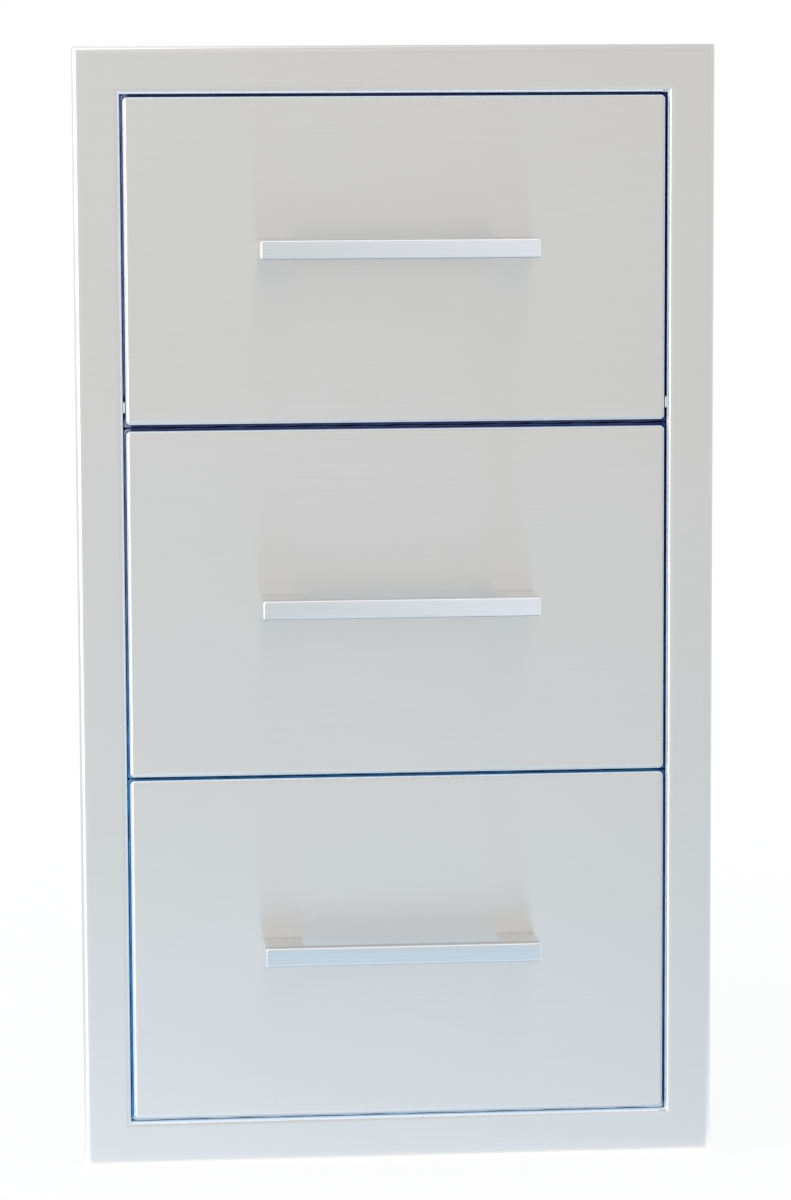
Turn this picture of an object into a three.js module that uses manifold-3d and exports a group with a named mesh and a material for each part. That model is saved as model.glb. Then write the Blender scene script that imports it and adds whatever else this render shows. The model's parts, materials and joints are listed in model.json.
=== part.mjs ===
// Outdoor kitchen drawer unit: a raised stainless face frame, the sheet steel cabinet behind it, and
// three drawers that run on telescopic ball-bearing slides.
//
// Millimetres. +Z is up, +Y runs into the island, and y = 0 is the island's face, on which the frame's
// seat bears. The origin is on that seat, at the middle of the bottom rail. Drawers open towards -Y.

import * as THREE from "three";
import { mergeVertices } from "three/addons/utils/BufferGeometryUtils.js";
import Module from "manifold-3d";

// Clearances
const seatGap = 0.3;
const runningGap = 0.2;
const cageGap = 0.4;
const cutOverrun = 1;
const weldDistance = 0.0001;

// Face frame
const frameWidth = 432;
const frameHeight = 762;
const frameProud = 12.7;
const flangeWidth = 32;
const seatWidth = 14;
const jambReach = 20;
const frameSheet = 1.2;
const frameBend = 2.4;

// Cabinet
const cabinetSheet = 1;
const cabinetBend = 1;
const cabinetLap = 15;
const jambLap = 18;
const rearSpace = 26;

// Drawer fronts, from the top down
const edgeGap = 1.7;
const upperDrawerGap = 4.2;
const lowerDrawerGap = 2.3;
const drawerNames = ["top", "middle", "bottom"];
const frontHeightShares = [0.3178, 0.3418, 0.3404];
const handleLevelShares = [0.54, 0.5, 0.505];
const frontDepth = 19;
const frontSheet = 1;
const frontBend = 1.5;
const linerSheet = 1;
const linerBend = 1;
const linerDepthShare = 0.58;

// Drawer bodies
const bodySheet = 1;
const bodyBend = 1;
const bodyHem = 9;
const bodyFloorLift = 12;
const bodyTail = 4;
const bodyHeightShare = 0.72;
const backFlange = 12;

// Handles
const handleWidth = 186.5;
const handleHeight = 12.7;
const handleReach = 38;
const barDepth = 10;
const legWidth = 26.5;
const handleEdge = 1.5;

// Handle screws
const screwRadius = 2.5;
const screwGrip = 12;
const screwHeadRadius = 4.75;
const screwHeadHeight = 2.8;
const screwCrownShare = 0.5;

// Slides
const slideSpace = 12.7;
const slideHeight = 45;
const slideLength = 450;
const slideSheet = 1.2;
const slideBend = 0.6;
const slideCurl = 3;
const slideSetback = 4;
const slideLevelShare = 0.42;
const cageSheet = 0.6;
const cageBend = 0.2;
const cageLength = 190;
const ballRadius = 2;
const ballsPerRow = 3;

// Nylon bumpers on the jambs
const bumperHeight = 7.5;
const bumperDepth = 9;
const bumperSetback = 2.5;
const bumperLevel = 7.9;
const bumperEdge = 1.5;
const bumperThicknessShare = 0.7;

// Fineness of round stretches
const bendSteps = 4;
const railSteps = 2;
const cageSteps = 1;
const arcSteps = 4;
const screwSides = 12;

// Finishes
const brushedSteel = { color: 0xcfcecb, roughness: 0.32, metalness: 1 };
const satinSteel = { color: 0xd9dde2, roughness: 0.22, metalness: 1 };
const millSteel = { color: 0xb9bcbf, roughness: 0.4, metalness: 1 };
const zincSteel = { color: 0xa9adb2, roughness: 0.35, metalness: 1 };
const ballSteel = { color: 0xdfe2e6, roughness: 0.12, metalness: 1 };
const whiteNylon = { color: 0xf2f2ee, roughness: 0.5, metalness: 0 };

const wasm = await Module();
wasm.setup();

// Places that several pieces share, worked out from the sizes above
const openingWidth = frameWidth - 2 * flangeWidth;
const openingHeight = frameHeight - 2 * flangeWidth;
const cabinetHalfWidth = openingWidth / 2 + frameSheet + seatGap;
const cabinetHalfHeight = openingHeight / 2 + frameSheet + seatGap;
const cabinetFront = jambReach - jambLap;
const slideFront = jambReach + slideSetback;
const slideBack = slideFront + slideLength;
const cabinetRear = slideBack + rearSpace;
const frontWidth = openingWidth - 2 * edgeGap;
const frontBack = frontDepth - frameProud;
const bodyHalfWidth = cabinetHalfWidth - slideSpace;
const screwPlaces = [-1, 1].map((side) => (side * (handleWidth - legWidth)) / 2);

function point(x, y) {
  return new THREE.Vector2(x, y);
}

// The closed outline of a folded sheet. The path runs along one face of the sheet, whose other face
// lies a thickness to the left. Each corner of the path is a bend with the given inside radius.
function sheetOutline(path, thickness, insideRadius, steps = bendSteps) {
  const near = [];
  const far = [];
  path.forEach((corner, i) => {
    const heading = i > 0 ? corner.clone().sub(path[i - 1]) : path[1].clone().sub(corner);
    heading.normalize();
    const left = point(-heading.y, heading.x);
    if (i === 0 || i === path.length - 1) {
      near.push(corner.clone());
      far.push(corner.clone().addScaledVector(left, thickness));
      return;
    }
    const next = path[i + 1].clone().sub(corner).normalize();
    const turn = Math.atan2(heading.cross(next), heading.dot(next));
    const side = Math.sign(turn);
    const nearRadius = side > 0 ? insideRadius + thickness : insideRadius;
    const farRadius = side > 0 ? insideRadius : insideRadius + thickness;
    const setback = nearRadius * Math.tan(Math.abs(turn) / 2);
    const start = corner.clone().addScaledVector(heading, -setback);
    const centre = start.clone().addScaledVector(left, side * nearRadius);
    for (let k = 0; k <= steps; k += 1) {
      const spoke = left.clone().multiplyScalar(-side).rotateAround(point(0, 0), (turn * k) / steps);
      near.push(centre.clone().addScaledVector(spoke, nearRadius));
      far.push(centre.clone().addScaledVector(spoke, farRadius));
    }
  });
  return [...near, ...far.reverse()];
}

// Carries a section round a rectangle, mitred at the corners. A section point's x is its distance in
// from the rectangle's edge and its y is its depth. Where a lid is named, the section isn't carried
// between that point and the next, and flat faces close both loops instead.
function mitredRing(section, width, height, lid) {
  const count = section.length;
  const corners = [point(-1, -1), point(1, -1), point(1, 1), point(-1, 1)];
  const positions = [];
  const index = [];
  for (const corner of corners) {
    for (const p of section) {
      positions.push(corner.x * (width / 2 - p.x), p.y, corner.y * (height / 2 - p.x));
    }
  }
  corners.forEach((_, c) => {
    const here = c * count;
    const there = ((c + 1) % corners.length) * count;
    section.forEach((_, j) => {
      const next = (j + 1) % count;
      if (j !== lid) {
        index.push(here + j, there + j, there + next, here + j, there + next, here + next);
      }
    });
  });
  if (lid !== undefined) {
    const [a, b, c, d] = corners.map((_, i) => i * count + lid);
    index.push(a, b, c, a, c, d);
    index.push(a + 1, c + 1, b + 1, a + 1, d + 1, c + 1);
  }
  const geometry = new THREE.BufferGeometry();
  geometry.setAttribute("position", new THREE.Float32BufferAttribute(positions, 3));
  geometry.setIndex(index);
  return geometry;
}

// A tray folded from one sheet. Its face is at y = 0 and its four walls run back to the given depth.
function tray(width, height, depth, thickness, insideRadius) {
  const faceStart = 2 * (insideRadius + thickness);
  const path = [point(0, depth), point(0, 0), point(faceStart, 0)];
  const section = sheetOutline(path, thickness, insideRadius);
  return mitredRing(section, width, height, section.length / 2 - 1);
}

// Pushes an outline in x and z along y, from one depth to another.
function alongY(outline, from, to) {
  const settings = { depth: to - from, bevelEnabled: false };
  const geometry = new THREE.ExtrudeGeometry(new THREE.Shape(outline), settings);
  return geometry.rotateX(Math.PI / 2).translate(0, to, 0);
}

// A round rod along y, which cuts the holes that the screws pass through.
function rodAlongY(radius, from, to) {
  const rod = new THREE.CylinderGeometry(radius, radius, to - from, screwSides);
  return rod.translate(0, (from + to) / 2, 0);
}

function block(low, high) {
  const size = high.clone().sub(low);
  const middle = high.clone().add(low).divideScalar(2);
  return new THREE.BoxGeometry(size.x, size.y, size.z).translate(middle.x, middle.y, middle.z);
}

function solidOf(geometry) {
  const bare = geometry.clone();
  bare.deleteAttribute("normal");
  bare.deleteAttribute("uv");
  const welded = mergeVertices(bare, weldDistance);
  const vertProperties = new Float32Array(welded.attributes.position.array);
  const triVerts = new Uint32Array(welded.index.array);
  return new wasm.Manifold(new wasm.Mesh({ numProp: 3, vertProperties, triVerts }));
}

function geometryOf(solid) {
  const mesh = solid.getMesh();
  const geometry = new THREE.BufferGeometry();
  geometry.setAttribute("position", new THREE.BufferAttribute(mesh.vertProperties, 3));
  geometry.setIndex(new THREE.BufferAttribute(mesh.triVerts, 1));
  return geometry;
}

function cut(geometry, tools) {
  return geometryOf(tools.reduce((solid, tool) => solid.subtract(solidOf(tool)), solidOf(geometry)));
}

function join(geometries) {
  return geometryOf(geometries.map(solidOf).reduce((whole, solid) => whole.add(solid)));
}

function piece(name, geometry, finish) {
  const mesh = new THREE.Mesh(geometry, new THREE.MeshStandardMaterial({ ...finish, flatShading: true }));
  mesh.name = name;
  return mesh;
}

// Face frame

// The sheet runs from the seat leg round the outer edge, over the face and back into the opening.
function faceFrame() {
  const path = [
    point(seatWidth, 0),
    point(0, 0),
    point(0, -frameProud),
    point(flangeWidth, -frameProud),
    point(flangeWidth, jambReach),
  ];
  const section = sheetOutline(path, frameSheet, frameBend);
  return piece("face_frame", mitredRing(section, frameWidth, frameHeight), brushedSteel);
}

// A pad with rounded corners, drawn with its depth as x and its height as y and then stood on a jamb.
function jambBumper(side, name, level) {
  const thickness = edgeGap * bumperThicknessShare;
  const low = bumperEdge - bumperHeight / 2;
  const far = bumperDepth - bumperEdge;
  const pad = new THREE.Shape();
  pad.absarc(far, low, bumperEdge, -Math.PI / 2, 0);
  pad.absarc(far, -low, bumperEdge, 0, Math.PI / 2);
  pad.absarc(bumperEdge, -low, bumperEdge, Math.PI / 2, Math.PI);
  pad.absarc(bumperEdge, low, bumperEdge, Math.PI, Math.PI * 1.5);
  const settings = { depth: thickness, bevelEnabled: false, curveSegments: arcSteps };
  const bumper = piece(name, new THREE.ExtrudeGeometry(pad, settings), whiteNylon);
  const jamb = openingWidth / 2;
  bumper.rotation.set(Math.PI / 2, 0, Math.PI / 2, "ZYX");
  bumper.position.set(side > 0 ? jamb - thickness : -jamb, bumperSetback - frameProud, level);
  return bumper;
}

// Cabinet

function cabinetSide(side, name) {
  const inner = cabinetHalfWidth;
  const outer = cabinetHalfWidth + cabinetSheet;
  const half = cabinetHalfHeight - cabinetBend;
  const low = new THREE.Vector3(side > 0 ? inner : -outer, cabinetFront, -half);
  const high = new THREE.Vector3(side > 0 ? outer : -inner, cabinetRear, half);
  return piece(name, block(low, high), millSteel);
}

// The top and the bottom are channels whose flanges lap over the outsides of the two sides.
function cabinetLid(up, name) {
  const half = cabinetHalfWidth + cabinetSheet + seatGap + cabinetSheet;
  const level = cabinetHalfHeight + cabinetSheet;
  const path = [
    point(half, level - cabinetLap),
    point(half, level),
    point(-half, level),
    point(-half, level - cabinetLap),
  ];
  const outline = sheetOutline(path, cabinetSheet, cabinetBend).map((p) => point(p.x, up * p.y));
  return piece(name, alongY(outline, cabinetFront, cabinetRear), millSteel);
}

// The back is a tray let in between the other four panels, its face level with their rear ends.
function cabinetBack() {
  const width = 2 * (cabinetHalfWidth - seatGap);
  const height = 2 * (cabinetHalfHeight - seatGap);
  const shell = tray(width, height, cabinetLap, cabinetSheet, cabinetBend);
  const back = piece("cabinet_back", shell, millSteel);
  back.rotation.z = Math.PI;
  back.position.y = cabinetRear;
  return back;
}

// Slides

// Widths across a slide run from the cabinet's side towards the drawer, and heights from its middle.
const outerWeb = seatGap;
const outerCageWeb = outerWeb + slideSheet + cageGap;
const middleWeb = outerCageWeb + cageSheet + cageGap;
const innerCageWeb = middleWeb + slideSheet + cageGap;
const innerLipEnd = innerCageWeb + cageSheet + cageGap;
const innerWeb = slideSpace - seatGap;
const outerLipEnd = innerWeb - slideSheet - 2 * seatGap;
const outerBallWidth = (outerCageWeb + cageSheet + outerLipEnd - slideSheet) / 2;
const innerBallWidth = (innerCageWeb + cageSheet + outerLipEnd) / 2;
const outerHalf = slideHeight / 2;
const outerBallLevel = outerHalf - slideSheet - runningGap - ballRadius;
const middleHalf = outerBallLevel - ballRadius - runningGap;
const innerBallLevel = middleHalf - slideSheet - runningGap - ballRadius;
const innerHalf = innerBallLevel - ballRadius - runningGap;

function acrossSlide(side, outline) {
  return outline.map((p) => point(side * (cabinetHalfWidth - p.x), p.y));
}

function rail(name, side, path) {
  const outline = sheetOutline(path, slideSheet, slideBend, railSteps);
  return piece(name, alongY(acrossSlide(side, outline), slideFront, slideBack), zincSteel);
}

// The cabinet member's lips end in curls that keep the balls in.
function slideCabinetMember(name, side) {
  return rail(name, side, [
    point(outerLipEnd, outerHalf - slideCurl),
    point(outerLipEnd, outerHalf),
    point(outerWeb, outerHalf),
    point(outerWeb, -outerHalf),
    point(outerLipEnd, -outerHalf),
    point(outerLipEnd, -outerHalf + slideCurl),
  ]);
}

function slideMiddleMember(name, side) {
  return rail(name, side, [
    point(outerLipEnd, middleHalf),
    point(middleWeb, middleHalf),
    point(middleWeb, -middleHalf),
    point(outerLipEnd, -middleHalf),
  ]);
}

function slideDrawerMember(name, side) {
  return rail(name, side, [
    point(innerLipEnd, -innerHalf),
    point(innerWeb, -innerHalf),
    point(innerWeb, innerHalf),
    point(innerLipEnd, innerHalf),
  ]);
}

// A retainer folded from thin strip, with a row of balls through its upper and its lower lip.
function ballCage(name, side, web, ballWidth, ballLevel) {
  const lipEnd = ballWidth + ballRadius;
  const half = ballLevel + cageSheet / 2;
  const path = [point(lipEnd, half), point(web, half), point(web, -half), point(lipEnd, -half)];
  const outline = sheetOutline(path, cageSheet, cageBend, cageSteps);
  const from = (slideFront + slideBack - cageLength) / 2;
  const pitch = cageLength / ballsPerRow;
  const parts = [alongY(acrossSlide(side, outline), from, from + cageLength)];
  for (let i = 0; i < ballsPerRow; i += 1) {
    for (const level of [-ballLevel, ballLevel]) {
      const ball = new THREE.IcosahedronGeometry(ballRadius);
      parts.push(ball.translate(side * (cabinetHalfWidth - ballWidth), from + pitch * (i + 1 / 2), level));
    }
  }
  return piece(name, join(parts), ballSteel);
}

// Drawers

// The tools that cut a pair of screw holes through a sheet whose front face is at the given depth.
function screwHoles(sheetFront, thickness, level) {
  return screwPlaces.map((x) => {
    const hole = rodAlongY(screwRadius + seatGap, sheetFront - cutOverrun, sheetFront + thickness + cutOverrun);
    return hole.translate(x, 0, level);
  });
}

function frontPanel(name, height, handleLevel) {
  const shell = tray(frontWidth, height, frontDepth, frontSheet, frontBend);
  shell.translate(0, -frameProud, 0);
  return piece(name, cut(shell, screwHoles(-frameProud, frontSheet, handleLevel)), brushedSteel);
}

// The liner is a tray that closes the front's back, its walls inside those of the front panel.
function frontLiner(name, height, handleLevel) {
  const inset = 2 * (frontSheet + seatGap);
  const depth = linerDepthShare * frontDepth;
  const shell = tray(frontWidth - inset, height - inset, depth, linerSheet, linerBend);
  shell.rotateZ(Math.PI).translate(0, frontBack, 0);
  return piece(name, cut(shell, screwHoles(frontBack - linerSheet, linerSheet, handleLevel)), millSteel);
}

// The sides and the floor are one sheet, and the sides' top edges are turned in.
function drawerBody(name, floor, top) {
  const path = [
    point(-bodyHalfWidth + bodyHem, top),
    point(-bodyHalfWidth, top),
    point(-bodyHalfWidth, floor),
    point(bodyHalfWidth, floor),
    point(bodyHalfWidth, top),
    point(bodyHalfWidth - bodyHem, top),
  ];
  const outline = sheetOutline(path, bodySheet, bodyBend);
  return piece(name, alongY(outline, frontBack + seatGap, slideBack + bodyTail), millSteel);
}

// The rear wall is a tray that stands between the sides, over the bends along the floor's edges.
function drawerBack(name, floor, top) {
  const width = 2 * (bodyHalfWidth - bodySheet - seatGap);
  const low = floor + bodySheet + bodyBend;
  const high = top - bodySheet - seatGap;
  const back = piece(name, tray(width, high - low, backFlange, bodySheet, bodyBend), millSteel);
  back.rotation.z = Math.PI;
  back.position.set(0, slideBack + bodyTail, (low + high) / 2);
  return back;
}

// A square bar on two flat legs, with the bar's ends rounded and a blind screw hole up each leg.
function handle(name, level) {
  const outer = handleWidth / 2;
  const inner = outer - legWidth;
  const barBack = barDepth - handleReach;
  const arcDepth = handleEdge - handleReach;
  const outline = new THREE.Shape();
  outline.moveTo(-outer, 0);
  outline.absarc(-outer + handleEdge, arcDepth, handleEdge, Math.PI, Math.PI * 1.5);
  outline.absarc(outer - handleEdge, arcDepth, handleEdge, Math.PI * 1.5, Math.PI * 2);
  outline.lineTo(outer, 0);
  outline.lineTo(inner, 0);
  outline.lineTo(inner, barBack);
  outline.lineTo(-inner, barBack);
  outline.lineTo(-inner, 0);
  const settings = { depth: handleHeight, bevelEnabled: false, curveSegments: arcSteps };
  const bar = new THREE.ExtrudeGeometry(outline, settings).translate(0, 0, -handleHeight / 2);
  const mesh = piece(name, cut(bar, screwHoles(-screwGrip, screwGrip, 0)), satinSteel);
  mesh.position.set(0, -frameProud - seatGap, level);
  return mesh;
}

// A pan-head screw, turned about its axis with its point at the bottom and then laid along y.
function handleScrew(name, x, level) {
  const shank = frontDepth + seatGap + screwGrip;
  const profile = [
    point(0, 0),
    point(screwRadius, 0),
    point(screwRadius, shank),
    point(screwHeadRadius, shank),
    point(screwHeadRadius, shank + screwCrownShare * screwHeadHeight),
    point(screwRadius, shank + screwHeadHeight),
    point(0, shank + screwHeadHeight),
  ];
  const screw = piece(name, new THREE.LatheGeometry(profile, screwSides), zincSteel);
  screw.position.set(x, frontBack + seatGap - shank, level);
  return screw;
}

// One drawer and its two slides, in a group at the middle of the drawer's front
function drawer(name, height, handleShare) {
  const group = new THREE.Group();
  const handleLevel = (handleShare - 1 / 2) * height;
  const floor = bodyFloorLift - height / 2;
  const bodyHeight = bodyHeightShare * height;
  group.add(
    frontPanel(`front_panel_${name}`, height, handleLevel),
    frontLiner(`front_liner_${name}`, height, handleLevel),
    drawerBody(`drawer_body_${name}`, floor, floor + bodyHeight),
    drawerBack(`drawer_back_${name}`, floor, floor + bodyHeight),
    handle(`handle_${name}`, handleLevel),
    handleScrew(`handle_screw_${name}_left`, screwPlaces[0], handleLevel),
    handleScrew(`handle_screw_${name}_right`, screwPlaces[1], handleLevel),
  );
  for (const [side, hand] of [[-1, "left"], [1, "right"]]) {
    const end = `${name}_${hand}`;
    const slide = new THREE.Group();
    slide.position.z = floor + slideLevelShare * bodyHeight;
    slide.add(
      slideCabinetMember(`slide_cabinet_member_${end}`, side),
      ballCage(`ball_cage_outer_${end}`, side, outerCageWeb, outerBallWidth, outerBallLevel),
      slideMiddleMember(`slide_middle_member_${end}`, side),
      ballCage(`ball_cage_inner_${end}`, side, innerCageWeb, innerBallWidth, innerBallLevel),
      slideDrawerMember(`slide_drawer_member_${end}`, side),
    );
    group.add(slide);
  }
  return group;
}

// The whole unit, built round the middle of the frame and then set on its origin
const unit = new THREE.Group();
unit.position.z = (frameHeight - seatWidth) / 2;
unit.add(
  faceFrame(),
  cabinetSide(-1, "cabinet_side_left"),
  cabinetSide(1, "cabinet_side_right"),
  cabinetLid(1, "cabinet_top"),
  cabinetLid(-1, "cabinet_bottom"),
  cabinetBack(),
);

const gapsBelow = [upperDrawerGap, lowerDrawerGap, edgeGap];
const frontsHeight = openingHeight - edgeGap - upperDrawerGap - lowerDrawerGap - edgeGap;
let frontTop = openingHeight / 2 - edgeGap;
drawerNames.forEach((name, i) => {
  const height = frontHeightShares[i] * frontsHeight;
  const group = drawer(name, height, handleLevelShares[i]);
  group.position.z = frontTop - height / 2;
  unit.add(group);
  if (i === 0) {
    const level = frontTop - height + bumperLevel + bumperHeight / 2;
    unit.add(jambBumper(-1, "jamb_bumper_left", level), jambBumper(1, "jamb_bumper_right", level));
  }
  frontTop -= height + gapsBelow[i];
});

export default unit;
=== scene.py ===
# %% [markdown]
# # Dressing an outdoor kitchen drawer unit
#
# The real object is a stainless drawer unit that is let into a masonry island beside a grill. A raised
# face frame covers the edge of the cut-out, a sheet steel cabinet stands behind it, and three drawers
# with square bar handles run in it on ball-bearing slides. The solids come from CAD. This lesson puts the
# real finish on them: smooth bends, brushed grain, punched slide rails with rows of balls, rivets, screws
# and the blue film that is still on the folded edges.

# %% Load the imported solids
import json
import math

import bmesh
import bpy
from mathutils import Matrix, Vector


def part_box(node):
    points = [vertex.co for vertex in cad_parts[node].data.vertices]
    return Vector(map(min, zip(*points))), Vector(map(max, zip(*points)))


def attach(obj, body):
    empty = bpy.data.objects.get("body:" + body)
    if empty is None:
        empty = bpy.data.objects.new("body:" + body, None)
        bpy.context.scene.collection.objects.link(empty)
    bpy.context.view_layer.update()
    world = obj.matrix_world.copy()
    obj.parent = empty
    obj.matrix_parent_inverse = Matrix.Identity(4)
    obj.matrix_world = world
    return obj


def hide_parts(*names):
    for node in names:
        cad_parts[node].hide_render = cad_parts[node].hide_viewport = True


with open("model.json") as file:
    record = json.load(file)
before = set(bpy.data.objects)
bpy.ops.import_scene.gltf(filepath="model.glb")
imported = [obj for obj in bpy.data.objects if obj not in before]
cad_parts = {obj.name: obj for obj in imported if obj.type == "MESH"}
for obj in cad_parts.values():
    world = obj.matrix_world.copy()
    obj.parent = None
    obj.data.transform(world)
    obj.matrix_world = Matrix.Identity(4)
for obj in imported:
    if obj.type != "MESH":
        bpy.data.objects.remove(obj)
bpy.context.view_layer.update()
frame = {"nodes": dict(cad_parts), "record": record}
nodes = frame["nodes"]
MM = 0.001
LEVELS = ("top", "middle", "bottom")
HANDS = {"left": -1, "right": 1}

# %% [markdown]
# ## The camera
#
# The photograph was taken from above the middle of the unit and from its left, with a long lens: the
# upright edges hardly lean. The eye's place was worked out from the frame's corners, the drawer gaps and
# the handles. The lens is set from the focal length in photograph pixels. Blender measures it against
# the longer side, which is the height here.

# %% Set up the camera
PHOTO_HEIGHT = 1200
SENSOR = 36
FOCAL_PIXELS = 4349
EYE = Vector((-0.263, -2.924, 0.745))
TURN, TILT, ROLL = (math.radians(angle) for angle in (-5.134, 7.077, -0.24))


def link(name, data):
    """Puts a new object into the scene."""
    thing = bpy.data.objects.new(name, data)
    bpy.context.scene.collection.objects.link(thing)
    return thing


ahead = Vector((-math.sin(TURN) * math.cos(TILT), math.cos(TURN) * math.cos(TILT), -math.sin(TILT)))
across = ahead.cross(Vector((0, 0, 1))).normalized()
above = across.cross(ahead)
right = math.cos(ROLL) * across + math.sin(ROLL) * above
upward = -math.sin(ROLL) * across + math.cos(ROLL) * above

lens = bpy.data.cameras.new("photo_camera")
lens.sensor_width = SENSOR
lens.lens = FOCAL_PIXELS / PHOTO_HEIGHT * SENSOR
camera = link("photo_camera", lens)
camera.matrix_world = Matrix.Translation(EYE) @ Matrix((right, upward, -ahead)).transposed().to_4x4()
bpy.context.scene.camera = camera
print("lens", round(lens.lens, 1), "mm")

# %% [markdown]
# ## Writing node trees as sums
#
# A finish is a small sum over the surface: so much grain, plus so much cloud, inside a mask. Nodes are
# laid by one method, `add`, which sets what the node is, then its numbers and links. The sockets that it
# gives back can be added and multiplied in Python, and each sum lays its own Math node. Colours go
# through a Mix node, because a Math node would turn them grey. The Geometry Nodes are laid the same way.

# %% A sheet of nodes and the wires on it
def lays(operation, reflected=False):
    """The method of one operator, which lays a Math node."""
    def method(self, other):
        return self.math(operation, *((other, self) if reflected else (self, other)))

    return method


class Wire:
    """One socket on a sheet of nodes. A sum on it lays a Math node."""

    __add__, __radd__ = lays("ADD"), lays("ADD", True)
    __sub__, __rsub__ = lays("SUBTRACT"), lays("SUBTRACT", True)
    __mul__, __rmul__ = lays("MULTIPLY"), lays("MULTIPLY", True)
    __truediv__, __mod__ = lays("DIVIDE"), lays("FLOORED_MODULO")
    __gt__, __lt__ = lays("GREATER_THAN"), lays("LESS_THAN")
    or_more = lays("MAXIMUM")

    def __init__(self, sheet, socket):
        self.sheet = sheet
        self.socket = socket

    def math(self, operation, *terms):
        return self.sheet.add("ShaderNodeMath", {"operation": operation}, dict(enumerate(terms)))

    def __neg__(self):
        return self.math("MULTIPLY", self, -1)

    def __abs__(self):
        return self.math("ABSOLUTE", self)

    def whole(self):
        return self.math("FLOOR", self)

    def between(self, low, high):
        """0 below low, 1 above high, and a smooth step between them."""
        ends = {"Value": self, "From Min": low, "From Max": high}
        return self.sheet.add("ShaderNodeMapRange", {"interpolation_type": "SMOOTHSTEP"}, ends)

    def tint(self, dark, light):
        """Goes from one colour to another as the wire goes from 0 to 1."""
        return self.sheet.add("ShaderNodeMix", {"data_type": "RGBA"}, {0: self, 6: dark, 7: light}, 2)

    def parts(self):
        """The x, y and z of a place."""
        spread = self.sheet.add("ShaderNodeSeparateXYZ", {}, {0: self})
        return [Wire(self.sheet, socket) for socket in spread.socket.node.outputs]


class Sheet:
    """A node tree that nodes are laid on, one by one."""

    def __init__(self, tree, material=None):
        self.tree = tree
        self.material = material
        tree.nodes.clear()

    def add(self, kind, settings, inputs, output=0):
        node = self.tree.nodes.new(kind)
        for name, value in settings.items():
            setattr(node, name, value)
        for key, value in inputs.items():
            if isinstance(value, Wire):
                self.tree.links.new(value.socket, node.inputs[key])
            else:
                node.inputs[key].default_value = value
        return Wire(self, node.outputs[output]) if node.outputs else None


print("nodes are laid by Sheet.add and summed on Wire")

# %% [markdown]
# ## Brushed stainless steel
#
# The frame and the drawer fronts are brushed: an abrasive belt leaves fine straight scratches along the
# sheet. They scatter light across themselves, which is why the handles' reflections are drawn out into
# long upright bands on the fronts. The anisotropy of the shader does that, and noise that is stretched
# about a hundred times along the grain gives the scratches. A second, wide noise stands for the clouds
# that cleaning leaves. In the photograph the grain runs across on all four sides of the frame, as it does
# where the front is ground after the corners are welded.
#
# The sheet comes with a blue protective film. It was peeled off the faces when the unit was put
# together, but it is still on the folded edges, where it shows as a blue line in every gap. The film is
# a second coat behind a ragged mask: pale where it starts at the bend, a painted reflection, blue past it,
# and a thin blue tint over bright steel on the flat walls. Past the bend its blue carries painted light
# and shade: painted dark high up and darker still on the right, and lighter low down, at the foot and,
# high up, on the left.

# %% Brushed steel, with film on the folded edges
STEEL_TONES = ((0.61, 0.595, 0.57, 1), (0.71, 0.695, 0.67, 1))
# The film's pale colour is a painted reflection on its rim at the bend, and a random tint on the walls.
FILM_LIT_RIM_AND_TINT = (0.8, 0.87, 0.95, 1)
# Painted light and shade in the film's blue: the high and right-hand colours are painted shade, the low,
# foot and high-left colours painted light.
FILM_SHADED_HIGH = (0.055, 0.075, 0.2, 1)
FILM_LIT_HIGH_LEFT = (0.36, 0.39, 0.54, 1)
FILM_SHADED_HIGH_RIGHT = (0.01, 0.025, 0.16, 1)
FILM_LIT_LOW = (0.15, 0.5, 0.8, 1)
FILM_SHADED_LOW_RIGHT = (0.03, 0.2, 0.48, 1)
FILM_LIT_FOOT = (0.7, 0.82, 0.92, 1)
FILM_WALL = (0.34, 0.49, 0.78, 1)
FILM_PAINTED_SIDES = (178 * MM, 180 * MM)
FILM_SHADE_HEIGHTS = (100 * MM, 500 * MM)
FILM_LIT_FOOT_HEIGHTS = (26.5 * MM, 30 * MM)
FILM_FADE, FILM_RAGGED = 0.5 * MM, 0.8 * MM
FILM_LIT_RIM_DEPTHS = (1.2 * MM, 2.6 * MM)
FILM_FLAT = (4 * MM, 5.5 * MM)
FILM_INSET = 4.4 * MM
FRAME_FILM_START = 0.7 * MM
FRONT_FILM_START = 0.9 * MM
JAMB_BAND = 8 * MM
RIGHT_JAMB_LAG = 0.9 * MM
# The handles' colours carry painted light: the bars are painted lighter higher up and to the right, the
# bright colour is a painted highlight and painted light, the dull one a painted shade.
BAR_GRAIN_AND_LIGHT_TONES = ((0.57, 0.6, 0.62, 1), (0.77, 0.81, 0.86, 1))
BAR_PAINTED_HIGHLIGHT = (0.95, 0.95, 0.95, 1)
BAR_PAINTED_SHADE = (0.45, 0.45, 0.44, 1)
BAR_DEPTH = 10 * MM
BAR_EDGE = 1.5 * MM
BAR_WELD = 0.4 * MM
BAR_PAINTED_LIGHT_HEIGHTS = (160 * MM, 350 * MM)
LEG_PAINTED_LIGHT = 0.6
QUARTER_TURN = 0.25


def start_finish(name):
    """The sheet of a new material, and the place on the object."""
    material = bpy.data.materials.new(name)
    material.use_nodes = True
    sheet = Sheet(material.node_tree, material)
    return sheet, sheet.add("ShaderNodeTexCoord", {}, {}, "Object")


def noise(sheet, place, scale, detail=2):
    """Noise from 0 to 1. The scale is in features to the metre, for all axes or for each."""
    scale = scale if isinstance(scale, tuple) else (scale,) * 3
    stretched = sheet.add("ShaderNodeMapping", {}, {"Vector": place, "Scale": scale})
    return sheet.add("ShaderNodeTexNoise", {}, {"Vector": stretched, "Scale": 1, "Detail": detail})


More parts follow.
